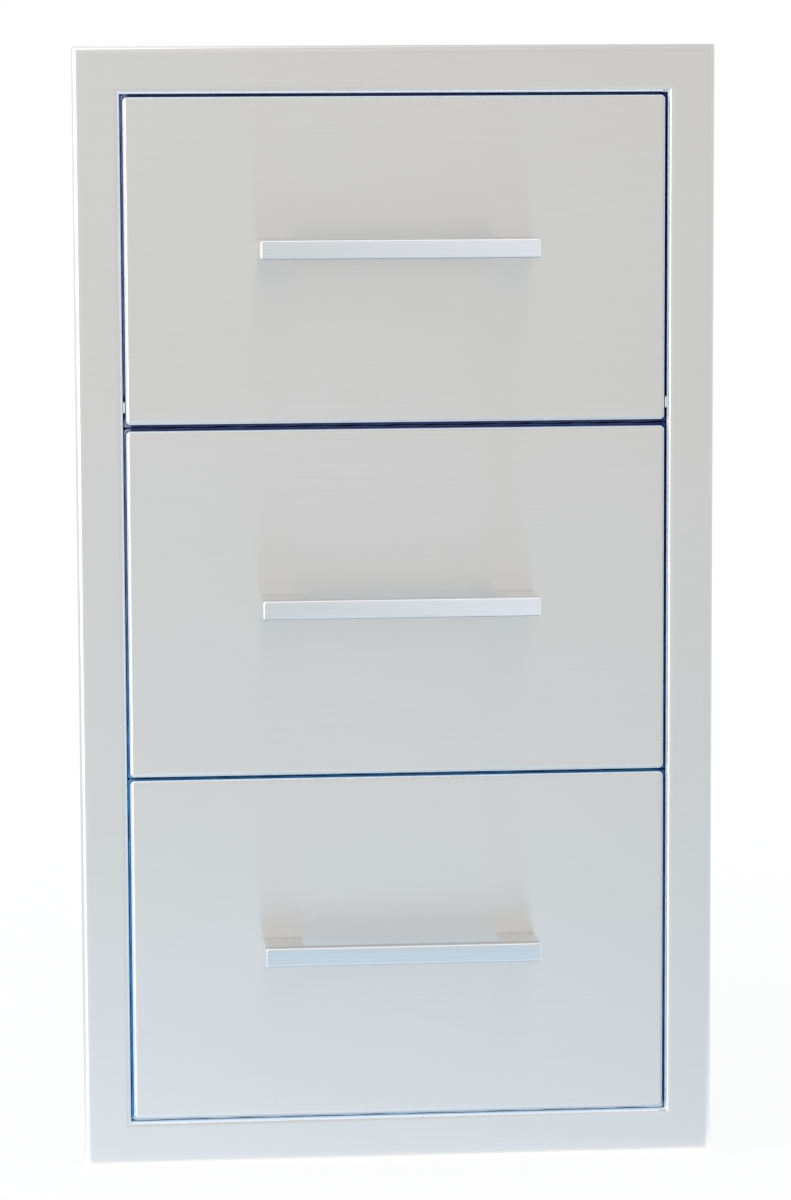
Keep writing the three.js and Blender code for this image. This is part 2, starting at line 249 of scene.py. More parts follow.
def grain(sheet, place, axis, length, width):
    """Scratches drawn out along one axis, with their length and width in millimetres."""
    scale = [1 / (width * MM)] * 3
    scale[axis] = 1 / (length * MM)
    return noise(sheet, place, tuple(scale))


def bumps(sheet, height, distance):
    return sheet.add("ShaderNodeBump", {}, {"Strength": 1, "Distance": distance, "Height": height})


def close_finish(sheet, inputs):
    shader = sheet.add("ShaderNodeBsdfPrincipled", {}, inputs)
    sheet.add("ShaderNodeOutputMaterial", {}, {"Surface": shader})
    return sheet.material


def belt_marks(sheet, place):
    """The long and the fine scratches of an abrasive belt, and the bumps that they make."""
    scratches = grain(sheet, place, 0, 60, 0.45)
    fine = grain(sheet, place, 0, 18, 0.16)
    return scratches, fine, bumps(sheet, scratches + 0.6 * fine, 0.004 * MM)


def film_blue(sheet, place):
    """The blue of the film, with painted light and shade: painted dark near the top of the unit and
    brighter low down and at the foot, where the floor lights it. High up it is painted paler on the left, a
    painted light, and it is painted darkest on the right, a painted shade."""
    x, _, z = place.parts()
    creases = noise(sheet, place, (60, 400, 60), 3)
    height = z.between(*FILM_SHADE_HEIGHTS) + 0.5 * (creases - 0.5)
    near, far = FILM_PAINTED_SIDES
    left, right = x.between(-far, -near), x.between(near, far)
    # Painted light high up on the left and painted shade on the right, over painted shade high up and
    # painted light low down.
    high = right.tint(left.tint(FILM_LIT_HIGH_LEFT, FILM_SHADED_HIGH), FILM_SHADED_HIGH_RIGHT)
    low = right.tint(FILM_LIT_LOW, FILM_SHADED_LOW_RIGHT)
    return z.between(*FILM_LIT_FOOT_HEIGHTS).tint(FILM_LIT_FOOT, height.tint(low, high))


def brushed(name, film_start, opening=None):
    """Brushed sheet with its grain along x, which pulls reflections out upwards. The film starts at a
    depth, and on the frame it is only inside the opening."""
    sheet, place = start_finish(name)
    scratches, fine, marks = belt_marks(sheet, place)
    cloud = noise(sheet, place, 9, 3)
    shade = 0.5 + 0.5 * (scratches - 0.5) + 0.4 * (fine - 0.5) + 0.5 * (cloud - 0.5)
    x, y, z = place.parts()
    ragged = noise(sheet, place, 420, 2)
    depth = y - film_start + FILM_RAGGED * (ragged - 0.5)
    inside = 1
    if opening:
        half_width, foot, head = opening
        depth = depth - RIGHT_JAMB_LAG * (x > half_width - JAMB_BAND)
        inside = (abs(x) < half_width) * (z > foot) * (z < head)
    film = depth.between(0, FILM_FADE) * inside
    wall = depth.between(*FILM_FLAT)
    # The pale rim where the film starts at the bend is a painted reflection; past it the blue carries
    # painted light and shade.
    blue = depth.between(*FILM_LIT_RIM_DEPTHS).tint(FILM_LIT_RIM_AND_TINT, film_blue(sheet, place))
    blue = wall.tint(blue, (0.5 + 0.8 * (cloud - 0.5)).tint(FILM_WALL, FILM_LIT_RIM_AND_TINT))
    return close_finish(sheet, {
        "Base Color": film.tint(shade.tint(*STEEL_TONES), blue),
        "Roughness": 0.3 + 0.07 * (scratches - 0.5) + 0.08 * (cloud - 0.5) + 0.12 * film,
        "Metallic": 1 - film * (1 - 0.8 * wall),
        "Anisotropic": 1,
        "Anisotropic Rotation": QUARTER_TURN,
        "Normal": marks,
    })


def satin_bar(name, front):
    """The handles' satin, with painted light. The two upper bars are painted lighter than the lowest,
    more so towards the right, a painted reflection; the legs, the broken edges and the back are painted
    brighter, a painted highlight; the lower edge is painted darker, a painted shade.
    """
    sheet, place = start_finish(name)
    scratches, fine, marks = belt_marks(sheet, place)
    x, y, z = place.parts()
    # Painted reflection: the two upper bars are painted lighter than the lowest, more so towards the right.
    height = z.between(*BAR_PAINTED_LIGHT_HEIGHTS)
    shade = 0.15 + 0.5 * (scratches - 0.5) + 0.4 * (fine - 0.5) + height * (0.35 + 3.2 * x)
    depth = y - front
    # Painted highlight on the rounded front edges, and painted light on the bar's back, the legs and the
    # legs' sides, which makes them brighter in the fronts' reflections.
    painted_edge_highlight = depth.between(0.1 * MM, 0.5 * MM) * (depth < BAR_EDGE)
    back = (depth > BAR_DEPTH - BAR_WELD) * (depth < BAR_DEPTH + BAR_WELD)
    facing = sheet.add("ShaderNodeAttribute", {"attribute_name": "facing"}, {}, "Vector")
    aside, _, upward = facing.parts()
    leg = LEG_PAINTED_LIGHT * (depth > BAR_DEPTH + BAR_WELD)
    painted_leg_side_light = abs(aside).between(0.6, 0.9) * (depth > BAR_DEPTH)
    painted_highlight = painted_edge_highlight.or_more(back).or_more(painted_leg_side_light).or_more(leg)
    # Painted shade on the rounded lower edge of the bar.
    painted_lower_shade = (-upward).between(0.25, 0.6) * (depth < BAR_EDGE)
    return close_finish(sheet, {
        "Base Color": painted_lower_shade.tint(painted_highlight.tint(shade.tint(*BAR_GRAIN_AND_LIGHT_TONES), BAR_PAINTED_HIGHLIGHT), BAR_PAINTED_SHADE),
        "Roughness": 0.17 + 0.06 * (scratches - 0.5),
        "Metallic": 1,
        "Anisotropic": 0.4,
        "Anisotropic Rotation": QUARTER_TURN,
        "Normal": marks,
    })


frame_lo, frame_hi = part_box("face_frame")
front_lo, front_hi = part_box("front_panel_top")
handle_lo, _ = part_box("handle_top")
FLANGE = 32 * MM
film_reach = FLANGE - FILM_INSET
jamb_film = (frame_hi.x - film_reach, frame_lo.z + film_reach, frame_hi.z - film_reach)
frame_steel = brushed("frame_brushed", frame_lo.y + FRAME_FILM_START, jamb_film)
front_steel = brushed("drawer_fronts_brushed", front_lo.y + FRONT_FILM_START)
handle_steel = satin_bar("handle_satin", handle_lo.y)
print("brushed finishes:", frame_steel.name, front_steel.name, handle_steel.name)

# %% [markdown]
# ## Mill steel, zinc, bright steel and nylon
#
# Nobody sees the cabinet once the unit is built in, so its sheet is left as the rolling mill made it:
# dull and even, with faint roll lines and soft clouds. The slides are zinc plated, a bluer grey with
# blotches where the bath ran off. Balls and rivets are polished. The two small bumpers are natural
# nylon, white and a little waxy. The loose edges of the blue film are thin plastic, with fine creases.

# %% The plainer finishes
MILL_TONES = ((0.5, 0.51, 0.515, 1), (0.66, 0.665, 0.67, 1))
ZINC_TONES = ((0.38, 0.41, 0.45, 1), (0.56, 0.585, 0.61, 1))
BALL_TONES = ((0.62, 0.63, 0.65, 1), (0.76, 0.77, 0.79, 1))
SCREW_TONES = ((0.5, 0.51, 0.52, 1), (0.66, 0.67, 0.68, 1))
NYLON_TONES = ((0.8, 0.8, 0.77, 1), (0.9, 0.9, 0.88, 1))


def mill_sheet(name):
    sheet, place = start_finish(name)
    rolled = grain(sheet, place, 1, 90, 1.4)
    cloud = noise(sheet, place, 14, 4)
    specks = noise(sheet, place, 900, 1)
    shade = 0.5 + 0.3 * (rolled - 0.5) + 0.6 * (cloud - 0.5)
    return close_finish(sheet, {
        "Base Color": shade.tint(*MILL_TONES),
        "Roughness": 0.38 + 0.16 * (cloud - 0.5) + 0.06 * (rolled - 0.5),
        "Metallic": 1,
        "Normal": bumps(sheet, rolled + 0.5 * specks, 0.006 * MM),
    })


def zinc_plate(name):
    sheet, place = start_finish(name)
    blotches = noise(sheet, place, 55, 4)
    drawn = grain(sheet, place, 1, 120, 0.7)
    shade = 0.5 + 0.8 * (blotches - 0.5) + 0.35 * (drawn - 0.5)
    return close_finish(sheet, {
        "Base Color": shade.tint(*ZINC_TONES),
        "Roughness": 0.3 + 0.2 * (blotches - 0.5),
        "Metallic": 1,
        "Normal": bumps(sheet, drawn, 0.008 * MM),
    })


def cloudy(name, fineness, tones, rough, bump, more):
    """A finish whose colour, gloss and bumps follow one noise. Without tones it is the film's blue, with
    its painted light and shade.
    """
    sheet, place = start_finish(name)
    cloud = noise(sheet, place, fineness, 3)
    middle, swing = rough
    return close_finish(sheet, {
        "Base Color": cloud.tint(*tones) if tones else film_blue(sheet, place),
        "Roughness": middle + swing * (cloud - 0.5),
        "Normal": bumps(sheet, cloud, bump),
        **more,
    })


METAL = {"Metallic": 1}
WAX = {"Subsurface Weight": 0.1}
# The loose film's colour is the film's blue with its painted light and shade.
torn_film = cloudy("protective_film", 350, None, (0.4, 0.2), 0.05 * MM, {})
mill_steel = mill_sheet("cabinet_mill_sheet")
zinc = zinc_plate("slide_zinc")
ball_steel = cloudy("slide_ball_polish", 300, BALL_TONES, (0.12, 0.1), 0.01 * MM, METAL)
screw_steel = cloudy("fastener_stainless", 300, SCREW_TONES, (0.26, 0.1), 0.01 * MM, METAL)
nylon = cloudy("bumper_nylon", 500, NYLON_TONES, (0.45, 0.15), 0.03 * MM, WAX)
print("plainer finishes:", mill_steel.name, zinc.name, ball_steel.name, screw_steel.name, nylon.name)

# %% [markdown]
# ## Folding a sheet
#
# Every large piece is sheet that was bent in a press brake. A bend is never a sharp line: the outside has
# the inside radius plus the thickness of the sheet. The section is drawn once, as a path with a bend at
# each corner, and it is then carried round a rectangle or drawn out along the slide. The normals are
# weighted by area at the end, so that the broad faces stay flat and only the bends turn the light.

# %% Sections and finished meshes
BEND_STEPS = 8
SHARP_ANGLE = 32
DOUBLE = 0.002 * MM
SLIVER = 0.001 * MM


def folded(path, thickness, inside_radii, steps=BEND_STEPS):
    """The closed outline of a folded sheet. The path runs along one face, the sheet lies to its left."""
    corners = [Vector(corner) for corner in path]
    inside_radii = inside_radii if isinstance(inside_radii, tuple) else (inside_radii,) * (len(path) - 2)
    near, far = [], []
    for i, corner in enumerate(corners):
        heading = (corner - corners[i - 1] if i else corners[1] - corner).normalized()
        left = Vector((-heading.y, heading.x))
        if i in (0, len(corners) - 1):
            near.append(corner)
            far.append(corner + left * thickness)
            continue
        onward = (corners[i + 1] - corner).normalized()
        turn = math.atan2(heading.cross(onward), heading.dot(onward))
        side = 1 if turn > 0 else -1
        inside_radius = inside_radii[i - 1]
        near_radius = inside_radius + (thickness if side > 0 else 0)
        far_radius = inside_radius + (0 if side > 0 else thickness)
        centre = corner - heading * near_radius * math.tan(abs(turn) / 2) + left * side * near_radius
        for k in range(steps + 1):
            spoke = left * -side
            spoke.rotate(Matrix.Rotation(turn * k / steps, 2))
            near.append(centre + spoke * near_radius)
            far.append(centre + spoke * far_radius)
    return near + far[::-1]


def made(name, work):
    """A piece from a finished bmesh."""
    mesh = bpy.data.meshes.new(name)
    work.to_mesh(mesh)
    work.free()
    return link(name, mesh)


def settle(piece):
    """Turns what the modifiers make into the piece's own plain mesh."""
    graph = bpy.context.evaluated_depsgraph_get()
    mesh = bpy.data.meshes.new_from_object(piece.evaluated_get(graph))
    piece.modifiers.clear()
    piece.data = mesh
    mesh.name = piece.name
    return piece


def coat(piece, material):
    """Gives every face one finish."""
    piece.data.materials.clear()
    piece.data.materials.append(material)
    for face in piece.data.polygons:
        face.material_index = 0
    return piece


def smooth(piece, angle=SHARP_ANGLE):
    """Merges doubles, turns the faces outwards and lets only the bends turn the light."""
    work = bmesh.new()
    work.from_mesh(piece.data)
    bmesh.ops.remove_doubles(work, verts=work.verts, dist=DOUBLE)
    bmesh.ops.dissolve_degenerate(work, edges=work.edges, dist=SLIVER)
    bmesh.ops.recalc_face_normals(work, faces=work.faces)
    work.to_mesh(piece.data)
    work.free()
    for face in piece.data.polygons:
        face.use_smooth = True
    piece.data.set_sharp_from_angle(angle=math.radians(angle))
    weighting = piece.modifiers.new("area", "WEIGHTED_NORMAL")
    weighting.weight = 100
    weighting.keep_sharp = True
    return settle(piece)


def dress(piece, body, slot, *replaced):
    """Gives a finished piece its body and hides the solids that it stands for. The slot is not used."""
    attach(piece, body)
    if replaced:
        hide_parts(*replaced)


print("a bend of the frame has", BEND_STEPS, "facets")

# %% [markdown]
# ## Geometry Nodes: a section carried round a rectangle
#
# The face frame and the three drawer fronts follow one rule: a folded section goes once round a
# rectangle, and a front also has a flat face inside. So one Geometry Nodes tree makes them all. A grid
# holds the section's points in one direction and the stations round the rectangle in the other. Each
# point looks up its inset and depth on the section and moves to its place. A corner's centre is a radius
# in from both sides, so a point that lies further in makes a square corner. The frame's corners are
# ground nearly square, and the fronts are pressed with rounder ones.

# %% The tree for the frame and the fronts
def new_tree(name, sockets):
    """A Geometry Nodes tree with named inputs. Gives the tree, its sheet and its wires."""
    tree = bpy.data.node_groups.new(name, "GeometryNodeTree")
    sheet = Sheet(tree)
    tree.interface.new_socket("Geometry", in_out="OUTPUT", socket_type="NodeSocketGeometry")
    sockets = {"Geometry": "Geometry", **sockets}
    for label, kind in sockets.items():
        tree.interface.new_socket(label, in_out="INPUT", socket_type="NodeSocket" + kind)
    start = sheet.add("NodeGroupInput", {}, {}).socket.node
    wires = {label: Wire(sheet, start.outputs[i]) for i, label in enumerate(sockets)}
    return tree, sheet, wires


def close_tree(sheet, geometry, material):
    whole = sheet.add("GeometryNodeRealizeInstances", {}, {0: geometry})
    coated = sheet.add("GeometryNodeSetMaterial", {}, {"Geometry": whole, "Material": material})
    sheet.add("NodeGroupOutput", {}, {0: coated})


def join(sheet, first, second):
    both = sheet.add("GeometryNodeJoinGeometry", {}, {0: first})
    sheet.tree.links.new(second.socket, both.socket.node.inputs[0])
    return both


def run_tree(piece, tree, *values):
    """Sets the tree's inputs by their identifiers, in their order, and keeps the mesh that it makes."""
    modifier = piece.modifiers.new("rule", "NODES")
    modifier.node_group = tree
    inputs = [item for item in tree.interface.items_tree if item.in_out == "INPUT"]
    for item, value in zip(inputs[1:], values):
        modifier[item.identifier] = value
    coat(settle(piece), values[-1])


RING_SOCKETS = dict.fromkeys(("Width", "Height", "Middle", "Corner radius"), "Float")
RING_SOCKETS |= {"Corner steps": "Int", "Faced": "Int", "Material": "Material"}
ROUND_OFF = 1e-4


def ring_tree():
    tree, sheet, wires = new_tree("section_round_a_rectangle", RING_SOCKETS)
    section = wires["Geometry"]
    count = sheet.add("GeometryNodeAttributeDomainSize", {"component": "MESH"}, {0: section})
    stations = 4 * (wires["Corner steps"] + 1)
    across = count + 1 - wires["Faced"]
    grid = sheet.add("GeometryNodeMeshGrid", {}, {"Vertices X": stations + 1, "Vertices Y": across})
    index = sheet.add("GeometryNodeInputIndex", {}, {})

    def placed(geometry, station, point):
        """Moves each point to its place at a station, with the inset and depth of a section point."""
        inputs = {"Geometry": section, "Index": point}
        inputs["Value"] = sheet.add("GeometryNodeInputPosition", {}, {})
        settings = {"data_type": "FLOAT_VECTOR", "domain": "POINT"}
        found = sheet.add("GeometryNodeSampleIndex", settings, inputs)
        inset, depth, _ = found.parts()
        per_corner = wires["Corner steps"] + 1
        corner = (station / per_corner).whole()
        angle = (corner + (station % per_corner) / wires["Corner steps"]) * (math.pi / 2)
        half_turn = (corner + 0.5) * (math.pi / 2)
        radius = (wires["Corner radius"] - inset).or_more(0)
        back_off = inset.or_more(wires["Corner radius"])
        side = half_turn.math("SIGN", half_turn.math("COSINE", half_turn))
        up = half_turn.math("SIGN", half_turn.math("SINE", half_turn))
        x = side * (wires["Width"] / 2 - back_off) + radius * angle.math("COSINE", angle)
        z = up * (wires["Height"] / 2 - back_off) + radius * angle.math("SINE", angle) + wires["Middle"]
        place = sheet.add("ShaderNodeCombineXYZ", {}, {"X": x, "Y": depth, "Z": z})
        return sheet.add("GeometryNodeSetPosition", {}, {"Geometry": geometry, "Position": place})

    walls = placed(grid, (index / across + ROUND_OFF).whole() % stations, (index % across) % count)
    faces = []
    for point in (0, count - 1):
        disc = sheet.add("GeometryNodeMeshCircle", {"fill_type": "NGON"}, {"Vertices": stations})
        faces.append(placed(disc, index, point))
    faced = {"Switch": wires["Faced"] > 0, "True": join(sheet, *faces)}
    lids = sheet.add("GeometryNodeSwitch", {"input_type": "GEOMETRY"}, faced)
    shell = {"Geometry": join(sheet, walls, lids), "Distance": SLIVER}
    merged = sheet.add("GeometryNodeMergeByDistance", {}, shell)
    close_tree(sheet, merged, wires["Material"])
    return tree


sheet_ring = ring_tree()
print("tree", sheet_ring.name, "with", len(sheet_ring.nodes), "nodes")

# %% [markdown]
# ## The face frame
#
# The frame is one strip of sheet, folded three times: a seat that bears on the island, a side, the broad
# face and a return that lines the opening. In the photograph a white line runs along its bends, and its
# width there gives their radii.

# %% The face frame
FRAME_SHEET = 1.2 * MM
FRAME_BENDS = (2.4 * MM, 4.6 * MM, 3.2 * MM)
FRAME_SEAT = 14 * MM
FRAME_CORNER = 1.6 * MM


def carried_round(name, outline, box, corner, steps, faced, material):
    """A piece from a section that is carried round the rectangle of a box."""
    lo, hi = box
    section = bpy.data.meshes.new(name)
    section.from_pydata([(p.x, p.y, 0) for p in outline], [], [])
    piece = link(name, section)
    middle = (lo.z + hi.z) / 2
    run_tree(piece, sheet_ring, hi.x - lo.x, hi.z - lo.z, middle, corner, steps, faced, material)
    return smooth(piece)


frame_path = [(FRAME_SEAT, 0), (0, 0), (0, frame_lo.y), (FLANGE, frame_lo.y), (FLANGE, frame_hi.y)]
frame_outline = folded(frame_path, FRAME_SHEET, FRAME_BENDS)
frame_box = (frame_lo, frame_hi)
frame_skin = carried_round("face_frame_skin", frame_outline, frame_box, FRAME_CORNER, 4, 0, frame_steel)
dress(frame_skin, "cabinet", "brushed_steel", "face_frame")
print("frame skin", len(frame_skin.data.polygons), "faces")

# %% [markdown]
# ## The drawer fronts
#
# A front is a shallow pan, folded 19 mm deep and closed at the corners. In the photograph its left bend
# catches the window as a white line and its right bend stays pale blue, so the bend has to be really
# round. Two holes take the handle's screws.

# %% Three fronts from the same tree
FRONT_SHEET = 1 * MM
FRONT_BEND = 2.4 * MM
FRONT_CORNER = 3 * MM
SCREW_RADIUS = 2.5 * MM
SCREW_CLEARANCE = 0.3 * MM


def rod(name, radius, low, high, sides=24):
    """A round cutter along y between two points."""
    work = bmesh.new()
    turned = Matrix.Translation((low + high) / 2) @ Matrix.Rotation(math.pi / 2, 4, "X")
    bmesh.ops.create_cone(
        work, cap_ends=True, segments=sides, radius1=radius, radius2=radius,
        depth=(high - low).length, matrix=turned)
    return made(name, work)


def carve(piece, tools, operation="DIFFERENCE"):
    """Cuts tools out of a piece, or welds them to it, and clears them away."""
    for tool in tools:
        step = piece.modifiers.new("carve", "BOOLEAN")
        step.operation = operation
        step.solver = "EXACT"
        step.object = tool
    settle(piece)
    for tool in tools:
        bpy.data.objects.remove(tool)


def screw_places(level):
    """The middles of the two handle screws of a drawer."""
    boxes = [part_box(f"handle_screw_{level}_{hand}") for hand in HANDS]
    return [((lo.x + hi.x) / 2, (lo.z + hi.z) / 2) for lo, hi in boxes]


def screw_holes(level, from_y, to_y):
    radius = SCREW_RADIUS + SCREW_CLEARANCE
    ends = [(Vector((x, from_y, z)), Vector((x, to_y, z))) for x, z in screw_places(level)]
    return [rod("hole", radius, low, high) for low, high in ends]


for level in LEVELS:
    lo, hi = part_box("front_panel_" + level)
    start = 2 * (FRONT_SHEET + FRONT_BEND)
    outline = folded([(0, hi.y), (0, lo.y), (start, lo.y)], FRONT_SHEET, FRONT_BEND)
    half = len(outline) // 2
    outline = outline[half:] + outline[:half]
    front = carried_round("front_skin_" + level, outline, (lo, hi), FRONT_CORNER, 6, 1, front_steel)
    carve(front, screw_holes(level, lo.y - MM, lo.y + 2 * MM))
    smooth(coat(front, front_steel))
    dress(front, "drawer_" + level, "brushed_steel", "front_panel_" + level)
    print("front", level, [round(v / MM, 1) for v in (hi.x - lo.x, hi.z - lo.z)], "mm")

# %% [markdown]
# ## Torn edges of the film
#
# Where the film was torn off along a bend, a narrow torn edge of it stands out from the drawer front's
# side into the gap, all the way round. It is what turns the gaps blue in the photograph, most of all low
# down, where its blue is painted lighter; high up it is painted darker, a painted shade. It is a thin
# curl, and its width and lean wander along its length, so that it looks torn and not cut. It fills the
# corners of the opening, stays clear of its neighbours by a third of a millimetre, and lies flat beside
# the nylon bumpers.

# %% A torn edge round each front
FILM_SHEET = 0.1 * MM
FILM_ROOT = 1.4 * MM
TORN_STEP = 4.5 * MM
TORN_DEPTHS = {"top": 5.2 * MM, "middle": 4.8 * MM, "bottom": 4.2 * MM}
CURL = ((-0.06, 1), (0.45, 0.42), (0.8, 0.1), (1, 0))
STAND_CLEAR = 0.35 * MM
FLAT_REACH = 0.25 * MM
CORNER_STEPS, LEAST_WIDTH = 5, 0.72
WANDER = ((0.3, 0.95, 40), (0.2, 2.15, 70))
LEAN = ((0.5 * MM, 0.65, 90),)
NEARLY_NONE = 0.001
FILM_ANGLE = 60


def round_the_front(lo, hi):
    """Places round a front's side walls, each with the direction out of the wall."""
    stops = []
    for quarter, (x, z) in enumerate(((hi.x, hi.z), (lo.x, hi.z), (lo.x, lo.z), (hi.x, lo.z))):
        height = z + (FRONT_CORNER if z == lo.z else -FRONT_CORNER)
        centre = Vector((x - math.copysign(FRONT_CORNER, x), 0, height))
        for k in range(CORNER_STEPS + 1):
            angle = (quarter + k / CORNER_STEPS) * math.pi / 2
            outward = Vector((math.cos(angle), 0, math.sin(angle)))
            stops.append((centre + outward * FRONT_CORNER, outward))
    places = []
    for (here, outward), (there, _) in zip(stops, stops[1:] + stops[:1]):
        count = max(1, round((there - here).length / TORN_STEP))
        places += [(here.lerp(there, k / count), outward) for k in range(count)]
    return places


def waves(table, k, start):
    """A sum of slow waves along the edge, each with its size, its pace and its share of the start."""
    return sum(size * math.sin(pace * k + share * start) for size, pace, share in table)


def torn_edge(name, lo, hi, depth, reaches):
    """A ragged curl of film all round a front. The reaches are to the side, up and down."""
    aside, up, down = reaches
    low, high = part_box("jamb_bumper_left")
    work = bmesh.new()
    loops = []
    for k, (place, outward) in enumerate(round_the_front(lo, hi)):
        along = up if outward.z > 0 else down
        to_side = (FRONT_CORNER + aside) / max(abs(outward.x), NEARLY_NONE)
        to_end = (FRONT_CORNER + along) / max(abs(outward.z), NEARLY_NONE)
        reach = min(to_side, to_end) - FRONT_CORNER
        wander = 0.5 + waves(WANDER, k, lo.z)
        wide = reach * (LEAST_WIDTH + (1 - LEAST_WIDTH) * wander)
        if low.z - TORN_STEP < place.z < high.z + TORN_STEP:
            wide = FLAT_REACH
        behind_face = lo.y + depth + waves(LEAN, k, lo.z)
        front = []
        for out, deep in CURL:
            sideways = outward * wide * out
            front.append(place + sideways + Vector((0, behind_face + FILM_ROOT * deep, 0)))
        behind = [point + Vector((0, FILM_SHEET, 0)) for point in front]
        loops.append([work.verts.new(point) for point in front + behind[::-1]])
    for near, far in zip(loops, loops[1:] + loops[:1]):
        for k in range(len(near)):
            after = (k + 1) % len(near)
            work.faces.new((near[k], far[k], far[after], near[after]))
    bmesh.ops.recalc_face_normals(work, faces=work.faces)
    return coat(made(name, work), torn_film)


fronts = {level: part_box("front_panel_" + level) for level in LEVELS}
upper_gap = fronts["top"][0].z - fronts["middle"][1].z - STAND_CLEAR
lower_gap = fronts["middle"][0].z - fronts["bottom"][1].z - STAND_CLEAR
to_frame = frame_hi.x - FLANGE - front_hi.x - STAND_CLEAR
torn_reaches = {
    "top": (to_frame, to_frame, upper_gap / 2),
    "middle": (to_frame, upper_gap / 2, lower_gap / 2),
    "bottom": (to_frame, lower_gap / 2, to_frame),
}
for level, (lo, hi) in fronts.items():
    torn = torn_edge("film_edge_" + level, lo, hi, TORN_DEPTHS[level], torn_reaches[level])
    smooth(torn, FILM_ANGLE)
    dress(torn, "drawer_" + level, "nylon")
    print("torn edge", level, len(torn.data.polygons), "faces")

# %% [markdown]
# ## The handles
#
# A handle is a square bar with a flat leg welded to its back at each end. All edges are broken with a
# small round, which shows as a bright line along the top and down the left end; the bar's colour there is
# also a painted highlight. The bar and the legs are made apart, rounded, and then welded into one solid
# with a Boolean, so the seam between bar and leg stays as a fine groove, as a ground weld does.

# %% Three bar handles
LEG_WIDTH = 26.5 * MM
LEG_SINK = 2.5 * MM
LEG_INSET = 0.2 * MM
LEG_EDGE = 0.7 * MM
SCREW_GRIP = 12 * MM


def rounded_block(name, low, high, edge, steps=4):
    """A block with every edge rounded."""
    work = bmesh.new()
    size = high - low
    shape = Matrix.Translation((low + high) / 2) @ Matrix.Diagonal((*size, 1))
    bmesh.ops.create_cube(work, size=1, matrix=shape)
    bmesh.ops.bevel(work, geom=work.edges[:], offset=edge, segments=steps, profile=0.5, affect="EDGES")
    return made(name, work)


for level in LEVELS:
    lo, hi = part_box("handle_" + level)
    bar = rounded_block("handle_bar_" + level, lo, Vector((hi.x, lo.y + BAR_DEPTH, hi.z)), BAR_EDGE)
    legs = []
    for side in HANDS.values():
        inner, outer = sorted((side * (hi.x - LEG_WIDTH), side * (hi.x - LEG_INSET)))
        low = Vector((inner, lo.y + BAR_DEPTH - LEG_SINK, lo.z + LEG_INSET))
        legs.append(rounded_block("leg", low, Vector((outer, hi.y, hi.z - LEG_INSET)), LEG_EDGE, 2))
    carve(bar, legs, "UNION")
    carve(bar, screw_holes(level, hi.y - SCREW_GRIP, hi.y + MM))
    smooth(coat(bar, handle_steel))
    # The normals are kept for the painted light on the legs' sides and the painted shade on the lower edge.
    facing = bar.data.attributes.new("facing", "FLOAT_VECTOR", "POINT")
    facing.data.foreach_set("vector", [part for vertex in bar.data.vertices for part in vertex.normal])
    dress(bar, "drawer_" + level, "handle_steel", "handle_" + level)
    print("handle", level, len(bar.data.polygons), "faces")

# %% [markdown]
# ## Turned patterns: screw, rivet and ball
#
# Small parts are made once as patterns and then placed by Geometry Nodes. A pan-head screw is a turned
# profile with a cross recess pressed into its head. A rivet is the same turning with a low dome. A ball
# has only a few dozen faces, because there are hundreds of them in the slides.

# %% The patterns
def turned(name, profile, sides=24):
    """A profile of (radius, height) points, turned about z. Its ends lie on the axis."""
    work = bmesh.new()
    rings = []
    for radius, height in profile:
        spokes = [2 * math.pi * k / sides for k in range(sides)] if radius else [0]
        rings.append([work.verts.new((radius * math.cos(a), radius * math.sin(a), height)) for a in spokes])
    for below, above_ring in zip(rings, rings[1:]):
        for k in range(sides):
            corners = [below[k % len(below)], below[(k + 1) % len(below)]]
            corners += [above_ring[(k + 1) % len(above_ring)], above_ring[k % len(above_ring)]]
            work.faces.new(list(dict.fromkeys(corners)))
    bmesh.ops.recalc_face_normals(work, faces=work.faces)
    return made(name, work)


def dome(radius, height, base=0.0, steps=5):
    """The profile of a low dome, from its rim to its top."""
    arc = [math.pi / 2 * k / steps for k in range(steps)]
    rim = [(radius * math.cos(a), base + height * math.sin(a)) for a in arc]
    return [*rim, (0, base + height)]


screw_lo, screw_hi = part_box("handle_screw_top_left")
HEAD_RADIUS = (screw_hi.x - screw_lo.x) / 2
HEAD_HEIGHT = 2.8 * MM
HEAD_RIM = 0.35 * HEAD_HEIGHT
SHANK = screw_hi.y - screw_lo.y - HEAD_HEIGHT
POINT_WIDTH = 0.6 * MM
POINT_HEIGHT = 0.8 * MM
RECESS_REACH = 2.6 * MM
RECESS_WIDTH = 0.9 * MM
RECESS_DEPTH = 1.7 * MM
RECESS_EDGE = 0.2 * MM

screw_profile = [(0, -SHANK), (SCREW_RADIUS - POINT_WIDTH, -SHANK), (SCREW_RADIUS, POINT_HEIGHT - SHANK)]
screw_profile += [(SCREW_RADIUS, 0), (HEAD_RADIUS, 0), (HEAD_RADIUS, HEAD_RIM)]
screw_profile += dome(HEAD_RADIUS, HEAD_HEIGHT - HEAD_RIM, HEAD_RIM)[1:]
screw_pattern = turned("screw_pattern", screw_profile)
cutters = []
for reach, width in ((RECESS_REACH, RECESS_WIDTH), (RECESS_WIDTH, RECESS_REACH)):
    low = Vector((-reach, -width, HEAD_HEIGHT - RECESS_DEPTH))
    cutters.append(rounded_block("recess", low, Vector((reach, width, HEAD_HEIGHT + MM)), RECESS_EDGE, 1))
carve(screw_pattern, cutters)

